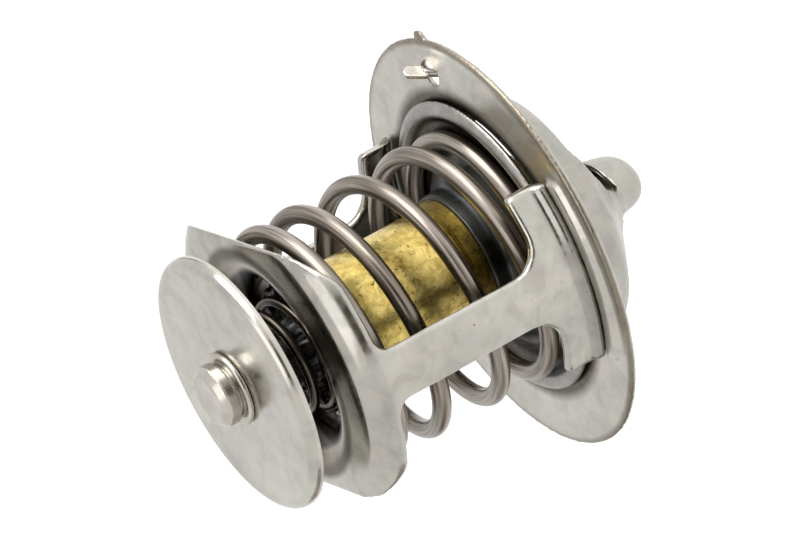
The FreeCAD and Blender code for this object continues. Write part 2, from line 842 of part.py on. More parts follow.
def make_jiggle_pin():
    """Vent pin: a round head, a shank through the flange and a flattened blade."""
    body = turned("jiggle_pin", [
        (0, cell("pin_head_start") - cell("pin_head_height")),
        (cell("pin_head_radius"), cell("pin_head_start") - cell("pin_head_height"), cell("pin_head_round")),
        (cell("pin_head_radius"), cell("pin_head_start")),
        (cell("pin_shank_radius"), cell("pin_head_start")),
        (cell("pin_shank_radius"), cell("pin_shank_end")),
        (0, cell("pin_shank_end")),
    ])
    section = new_sketch(body, "blade_outline", "XZ_Plane")
    half_width = cell("pin_blade_width").half()
    start = cell("pin_shank_end") - cell("pin_blade_sheet")
    end = cell("pin_shank_end") + cell("pin_blade_length")
    outline(section, [
        (-half_width, start, cell("pin_blade_sheet").half()),
        (half_width, start, cell("pin_blade_sheet").half()),
        (half_width, end, cell("pin_blade_round")),
        (-half_width, end, cell("pin_blade_round")),
    ])
    pad(body, "blade", section, cell("pin_blade_sheet"), both_ways=True)
    turn = math.radians(cell("pin_turn_angle").number)
    middle = -cell("flange_sheet").number / 2
    centre = Vector(VENT_PLACE.number * math.cos(turn), VENT_PLACE.number * math.sin(turn), middle)
    lean = Rotation(Vector(0, 1, 0), cell("pin_lean_angle").number)
    towards = Rotation(Vector(0, 0, 1), cell("pin_lean_turn_angle").number)
    body.Placement = Placement(centre, towards.multiply(lean))
    return body


PIECES = [
    make_flange(),
    make_lower_frame(),
    make_main_valve(),
    make_capsule_cup(),
    make_piston_guide(),
    make_backup_washer(),
    make_rubber_boot(),
    make_wax_charge(),
    make_piston(),
    make_main_spring(),
    make_bypass_stem(),
    make_stem_ring(),
    make_bypass_disc(),
    make_bypass_spring(),
    make_jiggle_pin(),
]

document.recompute()
for item in document.Objects:
    if "Invalid" in item.State or "Error" in item.State:
        raise RuntimeError(f"{item.Label}: {item.State}")
os.makedirs("parts", exist_ok=True)
for piece in PIECES:
    shape = piece.Shape
    if shape.isNull() or not shape.isValid() or len(shape.Solids) != 1:
        raise RuntimeError(f"{piece.Label} isn't one valid solid")
    print(piece.Label, round(shape.Volume, 2), shape.BoundBox)
for piece in PIECES:
    piece.Shape.exportStep(f"parts/{piece.Label}.step")
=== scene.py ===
"""Finishes, fine pieces, camera, lights and floor for an engine thermostat."""

import json
import logging
import math
from collections.abc import Callable
from dataclasses import dataclass, field
from enum import Enum

import bmesh
import bpy
from mathutils import Matrix, Vector, noise


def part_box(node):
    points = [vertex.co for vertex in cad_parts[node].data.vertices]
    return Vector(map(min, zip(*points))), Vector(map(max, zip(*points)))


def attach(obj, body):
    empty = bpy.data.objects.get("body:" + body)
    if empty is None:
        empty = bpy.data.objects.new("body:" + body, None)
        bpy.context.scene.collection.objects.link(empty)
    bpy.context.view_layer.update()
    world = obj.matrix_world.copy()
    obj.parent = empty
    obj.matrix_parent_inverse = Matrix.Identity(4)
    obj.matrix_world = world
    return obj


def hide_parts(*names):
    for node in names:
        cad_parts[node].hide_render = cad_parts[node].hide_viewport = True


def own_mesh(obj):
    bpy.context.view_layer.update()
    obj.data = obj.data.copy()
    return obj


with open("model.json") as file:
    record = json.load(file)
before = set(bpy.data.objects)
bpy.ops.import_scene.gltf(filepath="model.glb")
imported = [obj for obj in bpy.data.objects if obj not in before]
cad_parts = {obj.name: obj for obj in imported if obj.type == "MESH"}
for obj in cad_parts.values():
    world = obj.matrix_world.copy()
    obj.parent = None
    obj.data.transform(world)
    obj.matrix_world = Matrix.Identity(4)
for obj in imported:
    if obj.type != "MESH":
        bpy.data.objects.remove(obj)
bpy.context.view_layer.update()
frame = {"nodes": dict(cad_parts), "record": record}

LOG = logging.getLogger("thermostat")
MM = 0.001

# Points of a mesh that lie closer than this are one point
MERGE_MM = 0.0005
# The middle of a noise, where nearly all of its values lie
NOISE_MIDDLE = {"From Min": 0.3, "From Max": 0.7}
# The radius at which the rings of painted shade and reflection on a sheet end their colour ramp
RING_SPAN_MM = 30.0
# The attribute that holds a place in the wire's section and along the wire
WIRE_PLACE = "wire_place"
# How much die lines are drawn out along the wire
LINE_STRETCH = 0.03
# Noise vectors start from the clock unless they are given a seed, and every run has to draw the same rim
NOISE_SEED = 1

Colour = tuple[float, float, float, float]
Rings = tuple[tuple[float, str], ...]
Tree = bpy.types.NodeTree
Socket = bpy.types.NodeSocket


def linear(hex_colour: str) -> Colour:
    """Turns an sRGB hex colour into linear values.

    Args:
        hex_colour: Six hex digits, with or without a leading hash.

    Returns:
        Linear red, green, blue and an alpha of 1.
    """
    digits = hex_colour.lstrip("#")
    channels = []
    for start in (0, 2, 4):
        value = int(digits[start:start + 2], 16) / 255
        channels.append(value / 12.92 if value <= 0.04045 else ((value + 0.055) / 1.055) ** 2.4)
    return (channels[0], channels[1], channels[2], 1.0)


def grey(value: float) -> Colour:
    """A linear grey."""
    return (value, value, value, 1.0)


def per_mm(size_mm: float) -> float:
    """Scale of a pattern whose features are size_mm wide, on coordinates in metres."""
    return 1.0 / (size_mm * MM)


def add_node(tree: Tree, kind: str, values: dict | None = None, links: dict | None = None,
             stops: list[tuple[float, Colour]] | None = None, **settings) -> bpy.types.Node:
    """Adds a shader node with its settings, constants and incoming links.

    Args:
        tree: The material's or world's node tree.
        kind: The node's type name.
        values: Constants by input name or number.
        links: Output sockets by input name or number.
        stops: Positions and linear colours of a colour ramp, two or more.
        **settings: Properties of the node itself.

    Returns:
        The new node.
    """
    node = tree.nodes.new(kind)
    for name, value in settings.items():
        setattr(node, name, value)
    for name, value in (values or {}).items():
        node.inputs[name].default_value = value
    for name, socket in (links or {}).items():
        tree.links.new(socket, node.inputs[name])
    for index, (position, colour) in enumerate(stops or ()):
        elements = node.color_ramp.elements
        element = elements[index] if index < 2 else elements.new(position)
        element.position = position
        element.color = colour
    return node


class Slot(Enum):
    """The record's material slots."""

    PRESSED = "pressed_steel"
    DARK = "dark_steel"
    TURNED = "turned_steel"
    WIRE = "spring_wire"
    BRASS = "brass"
    RUBBER = "rubber"
    WASHER = "washer_plastic"
    WAX = "wax"


@dataclass(frozen=True)
class Finish:
    """A named finish that makes one Blender material."""

    name: str
    slot: Slot
    colour: str
    second_colour: str
    roughness: tuple[float, float]

    def start(self, metallic: float) -> tuple[bpy.types.Material, bpy.types.Node, Socket]:
        """Makes an empty material with a shader and object coordinates.

        Args:
            metallic: 1 for a metal and 0 for anything else.

        Returns:
            The material, its shader and the coordinate output.
        """
        material = bpy.data.materials.new(self.name)
        material.use_nodes = True
        tree = material.node_tree
        tree.nodes.clear()
        shader = add_node(tree, "ShaderNodeBsdfPrincipled", {"Metallic": metallic})
        add_node(tree, "ShaderNodeOutputMaterial", links={"Surface": shader.outputs["BSDF"]})
        place = add_node(tree, "ShaderNodeTexCoord").outputs["Object"]
        return material, shader, place

    def roughen(self, tree: Tree, shader: bpy.types.Node, pattern: Socket) -> None:
        """Varies the shader's roughness over the finish's range.

        Args:
            tree: The material's nodes.
            shader: The material's shader.
            pattern: A noise that says where the surface is worn.
        """
        low, high = self.roughness
        worn = add_node(tree, "ShaderNodeMapRange", {**NOISE_MIDDLE, "To Min": low, "To Max": high},
                        {"Value": pattern})
        tree.links.new(worn.outputs["Result"], shader.inputs["Roughness"])

    def build(self) -> bpy.types.Material:
        """Makes the material."""
        raise NotImplementedError


@dataclass(frozen=True)
class SheetSteel(Finish):
    """Cold-rolled sheet, pressed and tumbled: satin, softly mottled, with faint stains and a few pits."""

    third_colour: str = "#b7b4b0"
    mottle_mm: float = 3.2
    grain_mm: float = 0.16
    grain_depth_mm: float = 0.003
    dent_mm: float = 1.6
    dent_depth_mm: float = 0.006
    pit_mm: float = 0.45
    pit_share: float = 0.2
    pit_shade: float = 0.45

    def tint(self, tree: Tree, place: Socket, colour: Socket) -> Socket:
        """Changes the sheet's colour from place to place, which plain sheet doesn't need."""
        return colour

    def radius(self, tree: Tree, place: Socket) -> Socket:
        """Measures the distance from the axis.

        Args:
            tree: The material's nodes.
            place: Object coordinates.

        Returns:
            The distance in metres.
        """
        flat = add_node(tree, "ShaderNodeVectorMath", {1: (1.0, 1.0, 0.0)}, {0: place}, operation="MULTIPLY")
        length = add_node(tree, "ShaderNodeVectorMath", links={0: flat.outputs["Vector"]}, operation="LENGTH")
        return length.outputs["Value"]

    def painted_ring_shade(self, tree: Tree, radius: Socket, rings: Rings) -> Socket:
        """Paints shade, and in places reflections, into rings round the axis.

        Args:
            tree: The material's nodes.
            radius: The distance from the axis.
            rings: Radii in millimetres and the film's colour there.

        Returns:
            A colour to multiply the sheet's by.
        """
        share = add_node(tree, "ShaderNodeMath", {1: per_mm(RING_SPAN_MM)}, {0: radius}, operation="MULTIPLY")
        ramp = add_node(tree, "ShaderNodeValToRGB", links={"Fac": share.outputs[0]},
                        stops=[(at / RING_SPAN_MM, linear(tone)) for at, tone in rings])
        return ramp.outputs["Color"]

    def build(self) -> bpy.types.Material:
        """Makes the material.

        Returns:
            The sheet's material.
        """
        material, shader, place = self.start(metallic=1.0)
        tree = material.node_tree
        mottle = add_node(tree, "ShaderNodeTexNoise", {
            "Scale": per_mm(self.mottle_mm), "Detail": 4.0, "Distortion": 0.8}, {"Vector": place})
        rolled = add_node(tree, "ShaderNodeValToRGB", links={"Fac": mottle.outputs["Fac"]}, stops=[
            (0.34, linear(self.colour)), (0.5, linear(self.second_colour)), (0.66, linear(self.third_colour))])
        tinted = self.tint(tree, place, rolled.outputs["Color"])
        clouds = add_node(tree, "ShaderNodeTexNoise", {
            "Scale": per_mm(self.mottle_mm * 3.0), "Distortion": 0.4}, {"Vector": place})
        cloud = add_node(tree, "ShaderNodeMapRange", {**NOISE_MIDDLE, "To Min": 0.86, "To Max": 1.06},
                         {"Value": clouds.outputs["Fac"]})
        pits = add_node(tree, "ShaderNodeTexNoise", {"Scale": per_mm(self.pit_mm), "Detail": 1.0},
                        {"Vector": place})
        pit = add_node(tree, "ShaderNodeMapRange", {
            "From Min": self.pit_share, "From Max": self.pit_share + 0.05,
            "To Min": self.pit_shade, "To Max": 1.0}, {"Value": pits.outputs["Fac"]})
        shade = add_node(tree, "ShaderNodeMath", links={0: cloud.outputs["Result"], 1: pit.outputs["Result"]},
                         operation="MULTIPLY")
        mixed = add_node(tree, "ShaderNodeVectorMath", links={0: tinted, 1: shade.outputs[0]},
                         operation="MULTIPLY")
        tree.links.new(mixed.outputs["Vector"], shader.inputs["Base Color"])
        worn = add_node(tree, "ShaderNodeTexNoise", {"Scale": per_mm(self.mottle_mm * 0.35), "Detail": 5.0},
                        {"Vector": place})
        self.roughen(tree, shader, worn.outputs["Fac"])
        dents = add_node(tree, "ShaderNodeTexNoise", {"Scale": per_mm(self.dent_mm)}, {"Vector": place})
        dented = add_node(tree, "ShaderNodeBump", {"Strength": 0.5, "Distance": self.dent_depth_mm * MM},
                          {"Height": dents.outputs["Fac"]})
        grain = add_node(tree, "ShaderNodeTexNoise", {"Scale": per_mm(self.grain_mm), "Detail": 3.0},
                         {"Vector": place})
        grained = add_node(tree, "ShaderNodeBump", {"Strength": 0.5, "Distance": self.grain_depth_mm * MM},
                           {"Height": grain.outputs["Fac"], "Normal": dented.outputs["Normal"]})
        tree.links.new(grained.outputs["Normal"], shader.inputs["Normal"])
        return material


@dataclass(frozen=True)
class RingedSheet(SheetSteel):
    """Sheet with painted shade and painted reflections in rings round the axis, and a colour painted darker
    below the foot's height.
    """

    rings: Rings = ()
    rings_above_mm: float = 0.0
    rings_edge_mm: float = 0.2
    # Below foot_mm the colour is painted darker: painted shade on the frame's foot, and on the flange's dome
    # partly a painted reflection and partly duller steel
    foot_mm: float = 0.0
    shade_below_edge_mm: float = 0.7
    painted_shade_below: float = 0.7

    def tint(self, tree: Tree, place: Socket, colour: Socket) -> Socket:
        """Paints shade and reflections into the sheet at each ring's radius, above a height, and paints it
        darker below the foot's height.

        Args:
            tree: The material's nodes.
            place: Object coordinates.
            colour: The clean sheet's colour.

        Returns:
            The sheet's colour with the painted shade and reflections.
        """
        # The rings paint shade and reflections into the colour
        painted_ring_shade = self.painted_ring_shade(tree, self.radius(tree, place), self.rings)
        height = add_node(tree, "ShaderNodeSeparateXYZ", links={0: place}).outputs["Z"]
        above = add_node(tree, "ShaderNodeMapRange", {
            "From Min": (self.rings_above_mm - self.rings_edge_mm) * MM,
            "From Max": (self.rings_above_mm + self.rings_edge_mm) * MM}, {"Value": height})
        here = add_node(tree, "ShaderNodeMix", {6: grey(1.0)}, {0: above.outputs["Result"], 7: painted_ring_shade},
                        data_type="RGBA")
        # Painted shade below the foot's height
        shade_below = add_node(tree, "ShaderNodeMapRange", {
            "From Min": (self.foot_mm - self.shade_below_edge_mm) * MM,
            "From Max": (self.foot_mm + self.shade_below_edge_mm) * MM,
            "To Min": self.painted_shade_below, "To Max": 1.0}, {"Value": height})
        both = add_node(tree, "ShaderNodeVectorMath", links={0: here.outputs[2], 1: shade_below.outputs["Result"]},
                        operation="MULTIPLY")
        painted_shaded = add_node(tree, "ShaderNodeVectorMath", links={0: colour, 1: both.outputs["Vector"]},
                           operation="MULTIPLY")
        return painted_shaded.outputs["Vector"]


@dataclass(frozen=True)
class ValveSheet(SheetSteel):
    """Dull sheet whose hub is dark, with cool grey patches that paint a sheen on it, and painted shade on the
    floor round the spring's last coil.
    """

    hub_colour: str = "#4a4640"
    sheen_colour: str = "#4b5152"
    hub_radius_mm: float = 13.2
    hub_edge_mm: tuple[float, float] = (-0.4, 0.8)
    sheen_patch_mm: float = 2.6
    uneven_mm: float = 1.2
    # Painted shade on the floor round the spring's last coil
    floor_rings: Rings = ((14.2, "#ffffff"), (15.0, "#7c7267"), (17.4, "#6f665c"), (18.0, "#ffffff"))

    def tint(self, tree: Tree, place: Socket, colour: Socket) -> Socket:
        """Darkens the hub, up to an uneven edge, paints a sheen on it in cool grey patches, and paints shade on
        the floor round the spring's last coil.

        Args:
            tree: The material's nodes.
            place: Object coordinates.
            colour: The clean sheet's colour.

        Returns:
            The sheet's colour under the film.
        """
        radius = self.radius(tree, place)
        patches = add_node(tree, "ShaderNodeTexNoise", {
            "Scale": per_mm(self.sheen_patch_mm), "Detail": 3.0, "Distortion": 0.5}, {"Vector": place})
        patch = add_node(tree, "ShaderNodeMapRange", {**NOISE_MIDDLE, "To Min": 0.0, "To Max": 1.0},
                         {"Value": patches.outputs["Fac"]}).outputs["Result"]
        uneven = add_node(tree, "ShaderNodeMath", {1: self.uneven_mm * MM}, {0: patch}, operation="MULTIPLY")
        edge = add_node(tree, "ShaderNodeMath", links={0: radius, 1: uneven.outputs[0]}, operation="ADD")
        share = add_node(tree, "ShaderNodeMapRange", {
            "From Min": (self.hub_radius_mm + self.hub_edge_mm[0]) * MM,
            "From Max": (self.hub_radius_mm + self.hub_edge_mm[1]) * MM,
            "To Min": 1.0, "To Max": 0.0}, {"Value": edge.outputs[0]})
        # Cool grey patches paint a sheen on the dark hub
        hub = add_node(tree, "ShaderNodeMix", {6: linear(self.hub_colour), 7: linear(self.sheen_colour)},
                       {0: patch}, data_type="RGBA")
        whole = add_node(tree, "ShaderNodeMix", data_type="RGBA",
                         links={0: share.outputs["Result"], 6: colour, 7: hub.outputs[2]})
        painted_shaded = add_node(tree, "ShaderNodeVectorMath", operation="MULTIPLY",
                           links={0: whole.outputs[2], 1: self.painted_ring_shade(tree, radius, self.floor_rings)})
        return painted_shaded.outputs["Vector"]


@dataclass(frozen=True)
class DrawnWire(Finish):
    """Drawn spring steel: die lines run along the wire, with brown in the deeper ones.

    Real die lines are a few hundredths of a millimetre apart, too fine to show, so they are drawn coarser.
    """

    line_mm: float = 0.24
    line_depth_mm: float = 0.018
    worn_mm: float = 6.0

    def build(self) -> bpy.types.Material:
        """Makes the material.

        Returns:
            The wire's material.
        """
        material, shader, place = self.start(metallic=1.0)
        tree = material.node_tree
        along = add_node(tree, "ShaderNodeAttribute", attribute_name=WIRE_PLACE).outputs["Vector"]
        lines = add_node(tree, "ShaderNodeTexNoise", {"Scale": per_mm(self.line_mm), "Detail": 3.0},
                         {"Vector": along}).outputs["Fac"]
        broad = add_node(tree, "ShaderNodeTexNoise", {"Scale": per_mm(self.line_mm * 4.0)},
                         {"Vector": along}).outputs["Fac"]
        worn = add_node(tree, "ShaderNodeTexNoise", {"Scale": per_mm(self.worn_mm)}, {"Vector": place})
        where = add_node(tree, "ShaderNodeMapRange", {**NOISE_MIDDLE, "To Min": 0.15, "To Max": 1.0},
                         {"Value": worn.outputs["Fac"]})
        depth = add_node(tree, "ShaderNodeMath", links={0: lines, 1: where.outputs["Result"]},
                         operation="MULTIPLY")
        drawn = add_node(tree, "ShaderNodeValToRGB", links={"Fac": broad}, stops=[
            (0.36, linear(self.second_colour)), (0.52, linear(self.colour)), (0.7, linear(self.colour))])
        dark = add_node(tree, "ShaderNodeMapRange", {**NOISE_MIDDLE, "To Min": 0.42, "To Max": 1.08},
                        {"Value": lines})
        mixed = add_node(tree, "ShaderNodeVectorMath", operation="MULTIPLY",
                         links={0: drawn.outputs["Color"], 1: dark.outputs["Result"]})
        tree.links.new(mixed.outputs["Vector"], shader.inputs["Base Color"])
        self.roughen(tree, shader, broad)
        bump = add_node(tree, "ShaderNodeBump", {"Strength": 0.7, "Distance": self.line_depth_mm * MM},
                        {"Height": depth.outputs[0]})
        tree.links.new(bump.outputs["Normal"], shader.inputs["Normal"])
        return material


@dataclass(frozen=True)
class StainedBrass(Finish):
    """Drawn brass: pale yellow, rubbed and scratched, browned in patches, with painted shade in a band at the
    shoulder near the crimp.
    """

    stain_colour: str = "#75693a"
    shade_band_colour: str = "#86702c"
    rub_mm: float = 1.4
    stain_mm: float = 3.6
    speck_mm: float = 0.5
    worn_mm: float = 0.8
    dent_mm: float = 2.4
    dent_depth_mm: float = 0.07
    scratch_mm: float = 0.35
    scratch_depth_mm: float = 0.02
    shade_band_top_mm: float = 9.9
    shade_band_bottom_mm: float = 8.6
    shade_band_uneven_mm: float = 2.4

    def build(self) -> bpy.types.Material:
        """Makes the material.

        Returns:
            The brass's material.
        """
        material, shader, place = self.start(metallic=1.0)
        tree = material.node_tree
        rubbed = add_node(tree, "ShaderNodeTexNoise", {
            "Scale": per_mm(self.rub_mm), "Detail": 5.0, "Distortion": 1.0}, {"Vector": place}).outputs["Fac"]
        drawn = add_node(tree, "ShaderNodeValToRGB", links={"Fac": rubbed}, stops=[
            (0.38, linear(self.second_colour)), (0.6, linear(self.colour))])
        stains = add_node(tree, "ShaderNodeTexNoise", {
            "Scale": per_mm(self.stain_mm), "Detail": 3.0, "Distortion": 0.5}, {"Vector": place})
        stain = add_node(tree, "ShaderNodeMapRange", {
            "From Min": 0.53, "From Max": 0.68, "To Min": 0.0, "To Max": 0.7}, {"Value": stains.outputs["Fac"]})
        stained = add_node(tree, "ShaderNodeMix", {7: linear(self.stain_colour)}, data_type="RGBA",
                           links={0: stain.outputs["Result"], 6: drawn.outputs["Color"]})
        # Painted shade in a band at the shoulder near the crimp
        height = add_node(tree, "ShaderNodeSeparateXYZ", links={0: place}).outputs["Z"]
        uneven = add_node(tree, "ShaderNodeMath", {1: self.shade_band_uneven_mm * MM}, {0: rubbed},
                          operation="MULTIPLY")
        level = add_node(tree, "ShaderNodeMath", links={0: height, 1: uneven.outputs[0]}, operation="ADD")
        shade_share = add_node(tree, "ShaderNodeMapRange", {
            "From Min": (self.shade_band_bottom_mm + self.shade_band_uneven_mm / 2) * MM,
            "From Max": (self.shade_band_top_mm + self.shade_band_uneven_mm / 2) * MM,
            "To Min": 0.8, "To Max": 0.0}, {"Value": level.outputs[0]})
        shade_banded = add_node(tree, "ShaderNodeMix", {7: linear(self.shade_band_colour)}, data_type="RGBA",
                          links={0: shade_share.outputs["Result"], 6: stained.outputs[2]})
        specks = add_node(tree, "ShaderNodeTexNoise", {"Scale": per_mm(self.speck_mm), "Distortion": 0.4},
                          {"Vector": place})
        speck = add_node(tree, "ShaderNodeMapRange", {
            "From Min": 0.3, "From Max": 0.36, "To Min": 0.3, "To Max": 1.0}, {"Value": specks.outputs["Fac"]})
        specked = add_node(tree, "ShaderNodeVectorMath", operation="MULTIPLY",
                           links={0: shade_banded.outputs[2], 1: speck.outputs["Result"]})
        tree.links.new(specked.outputs["Vector"], shader.inputs["Base Color"])
        worn = add_node(tree, "ShaderNodeTexNoise", {
            "Scale": per_mm(self.worn_mm), "Detail": 5.0, "Distortion": 0.6}, {"Vector": place})
        self.roughen(tree, shader, worn.outputs["Fac"])
        dents = add_node(tree, "ShaderNodeTexNoise", {"Scale": per_mm(self.dent_mm)}, {"Vector": place})
        dented = add_node(tree, "ShaderNodeBump", {"Strength": 0.7, "Distance": self.dent_depth_mm * MM},
                          {"Height": dents.outputs["Fac"]})
        scratches = add_node(tree, "ShaderNodeTexNoise", {
            "Scale": per_mm(self.scratch_mm), "Detail": 4.0, "Distortion": 2.0}, {"Vector": place})
        scratched = add_node(tree, "ShaderNodeBump", {
            "Strength": 0.6, "Distance": self.scratch_depth_mm * MM}, {
            "Height": scratches.outputs["Fac"], "Normal": dented.outputs["Normal"]})
        tree.links.new(scratched.outputs["Normal"], shader.inputs["Normal"])
        return material


@dataclass(frozen=True)
class PlainFinish(Finish):
    """A moulded, cut or cast material with a fine even grain."""

    grain_mm: float = 0.4
    grain_depth_mm: float = 0.02

    def build(self) -> bpy.types.Material:
        """Makes the material.

        Returns:
            The plain material.
        """
        material, shader, place = self.start(metallic=0.0)
        tree = material.node_tree
        grain = add_node(tree, "ShaderNodeTexNoise", {"Scale": per_mm(self.grain_mm), "Detail": 3.0},
                         {"Vector": place}).outputs["Fac"]
        grained = add_node(tree, "ShaderNodeValToRGB", links={"Fac": grain}, stops=[
            (0.35, linear(self.colour)), (0.65, linear(self.second_colour))])
        tree.links.new(grained.outputs["Color"], shader.inputs["Base Color"])
        self.roughen(tree, shader, grain)
        bump = add_node(tree, "ShaderNodeBump", {"Strength": 0.5, "Distance": self.grain_depth_mm * MM},
                        {"Height": grain})
        tree.links.new(bump.outputs["Normal"], shader.inputs["Normal"])
        return material


# Stainless sheet as pressed and tumbled: a soft satin with a faint warm mottle and a few pits
SHEET_STEEL = SheetSteel("satin_stainless_sheet", Slot.PRESSED, "#c6bfb7", "#bdbcb3", (0.16, 0.27),
                         third_colour="#b7b1ab")
# The same sheet, drawn into a lip: painted shade and painted reflections in rings round the lip and its bore,
# and painted shade at the foot, where it stands on the flange
FRAME_STEEL = RingedSheet(
    "satin_stainless_frame", Slot.PRESSED, "#bdb6ae", "#b3b2aa", (0.15, 0.26), third_colour="#aca69f",
    rings=((11.9, "#3a332c"), (12.4, "#c8c0b8"), (13.6, "#c8c0b8"), (14.5, "#80766b"), (15.3, "#80766b"),
           (16.1, "#ffffff")),
    rings_above_mm=20.0, foot_mm=2.0)
# The same sheet, duller: painted shade round the valve's rim, a little darker at the sheared rim, and the dome
# painted darker, partly a painted reflection and partly duller drawn steel
FLANGE_STEEL = RingedSheet(
    "satin_stainless_flange", Slot.PRESSED, "#c6bfb7", "#bdbcb3", (0.26, 0.4), third_colour="#b7b1ab",
    rings=((18.0, "#5f574e"), (20.6, "#6f675c"), (22.0, "#ffffff"), (27.0, "#ffffff"), (27.6, "#b8b0a6")),
    rings_above_mm=-0.6, foot_mm=-1.8, painted_shade_below=0.8)
# Dull pressed steel that stands in coolant: mid grey, with a nearly black hub under a painted sheen of cool
# grey patches, and painted shade on the floor round the spring's last coil
DARK_STEEL = ValveSheet("dull_valve_sheet", Slot.DARK, "#a09d98", "#918f8b", (0.26, 0.4),
                        third_colour="#a39e96")
# Stainless turned on a lathe: even and bright, without dents
TURNED_STEEL = SheetSteel("turned_stainless", Slot.TURNED, "#c9c4bb", "#bfbab2", (0.2, 0.3),
                          third_colour="#b9b4ac", dent_depth_mm=0.002)
# Hard-drawn spring steel: brown-grey, with dark lines and long soft highlights along the wire
WIRE_STEEL = DrawnWire("drawn_spring_wire", Slot.WIRE, "#a69d93", "#7d7368", (0.24, 0.36))
# The same wire under old oil, and painted darker for the shade inside the frame's lip: dark, with narrow
# highlights
OILED_SHADED_WIRE = DrawnWire("oiled_shaded_spring_wire", Slot.WIRE, "#6f665c", "#4d463e", (0.2, 0.32))
# Deep-drawn brass that has been handled: pale gold with olive stains, specks, soft dents and painted shade in a
# band at its shoulder
BRASS = StainedBrass("stained_brass", Slot.BRASS, "#d6c074", "#b59d54", (0.22, 0.4))
# Rubber as moulded: black and dull
RUBBER = PlainFinish("moulded_rubber", Slot.RUBBER, "#1a1a1a", "#222222", (0.55, 0.7))
# A polymer cut from sheet: off-white, with a low sheen
WASHER = PlainFinish("cut_polymer", Slot.WASHER, "#dddad0", "#d0ccc0", (0.4, 0.5))
# Wax filled with copper powder and cast: brown and dull
WAX = PlainFinish("copper_filled_wax", Slot.WAX, "#b98a4e", "#a87a44", (0.45, 0.6))
# Old grease full of dirt: black and clotted, with small wet highlights
GREASE = PlainFinish("black_grease", Slot.RUBBER, "#080706", "#0f0c09", (0.2, 0.4),
                     grain_mm=0.9, grain_depth_mm=0.2)

FINISHES = {
    "flange": FLANGE_STEEL,
    "lower_frame": FRAME_STEEL,
    "bypass_disc": SHEET_STEEL,
    "main_valve": DARK_STEEL,
    "bypass_stem": TURNED_STEEL,
    "stem_ring": TURNED_STEEL,
    "jiggle_pin": TURNED_STEEL,
    "piston": TURNED_STEEL,
    "main_spring": WIRE_STEEL,
    "bypass_spring": OILED_SHADED_WIRE,
    "capsule_cup": BRASS,
    "piston_guide": BRASS,
    "rubber_boot": RUBBER,
    "backup_washer": WASHER,
    "wax_charge": WAX,
}


@dataclass
class FinishShelf:
    """The materials made so far, one for each finish."""

    materials: dict[str, bpy.types.Material] = field(default_factory=dict)

    def dress(self, piece: bpy.types.Object, finish: Finish) -> None:
        """Gives a piece a finish and reports it.

        Args:
            piece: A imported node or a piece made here.
            finish: What it is made of.
        """
        if finish.name not in self.materials:
            self.materials[finish.name] = finish.build()
        piece.data.materials.clear()
        piece.data.materials.append(self.materials[finish.name])
        LOG.info("%s: %s, %d faces", piece.name, finish.name, len(piece.data.polygons))

    def dress_nodes(self) -> None:
        """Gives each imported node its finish."""
        for name, node in frame["nodes"].items():
            self.dress(node, FINISHES[name])


def body_of(node: str) -> str:
    """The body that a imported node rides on."""
    return next(name for name, body in frame["record"]["behaviour"]["bodies"].items() if node in body)


def keep_piece(name: str, shape: bmesh.types.BMesh) -> bpy.types.Object:
    """Turns a finished shape into a smooth-shaded object.

    Args:
        name: The object's name.
        shape: The shape in metres, which is freed.

    Returns:
        The object, at the origin.
    """
    for face in shape.faces:
        face.smooth = True
    mesh = bpy.data.meshes.new(name)
    shape.to_mesh(mesh)
    shape.free()
    piece = bpy.data.objects.new(name, mesh)
    bpy.context.scene.collection.objects.link(piece)
    return piece


def merged_copy(node: str) -> bmesh.types.BMesh:
    """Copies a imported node's mesh without its stored normals, and joins its faces along their edges.

    Args:
        node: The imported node's name.

    Returns:
        The copy in metres.
    """
    source = frame["nodes"][node].data
    shape = bmesh.new()
    vertices = [shape.verts.new(vertex.co) for vertex in source.vertices]
    for polygon in source.polygons:
        shape.faces.new([vertices[index] for index in polygon.vertices])
    bmesh.ops.remove_doubles(shape, verts=shape.verts, dist=MERGE_MM * MM)
    return shape


def ease(value: float, start: float, end: float) -> float:
    """A smooth step from 0 at start to 1 at end."""
    share = min(max((value - start) / (end - start), 0.0), 1.0)
    return share * share * (3.0 - 2.0 * share)


@dataclass(frozen=True)
class RoundedNode:
    """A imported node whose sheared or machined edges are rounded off."""

    node: str
    voxel_mm: float
    passes: int
    shape_vertex: Callable[[Vector], Vector] | None = None

    def build(self, shelf: FinishShelf) -> bpy.types.Object:
        """Remeshes the node evenly, smooths it and puts it in the node's place.

        Args:
            shelf: Where the finish comes from.

        Returns:
            The piece that replaces the node.
        """
        rough = keep_piece(f"{self.node}_rough", merged_copy(self.node))
        remesh = rough.modifiers.new("even", "REMESH")
        remesh.mode = "VOXEL"
        remesh.voxel_size = self.voxel_mm * MM
        ready = rough.evaluated_get(bpy.context.evaluated_depsgraph_get())
        shape = bmesh.new()
        shape.from_mesh(ready.to_mesh())
        ready.to_mesh_clear()
        bpy.data.objects.remove(rough)
        for _ in range(self.passes):
            bmesh.ops.smooth_vert(shape, verts=shape.verts, factor=0.5, use_axis_x=True, use_axis_y=True,
                                  use_axis_z=True)
        if self.shape_vertex:
            for vertex in shape.verts:
                vertex.co = self.shape_vertex(vertex.co / MM) * MM
        piece = keep_piece(f"{self.node}_rounded", shape)
        shelf.dress(piece, FINISHES[self.node])
        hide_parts(self.node)
        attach(piece, body_of(self.node))
        return piece


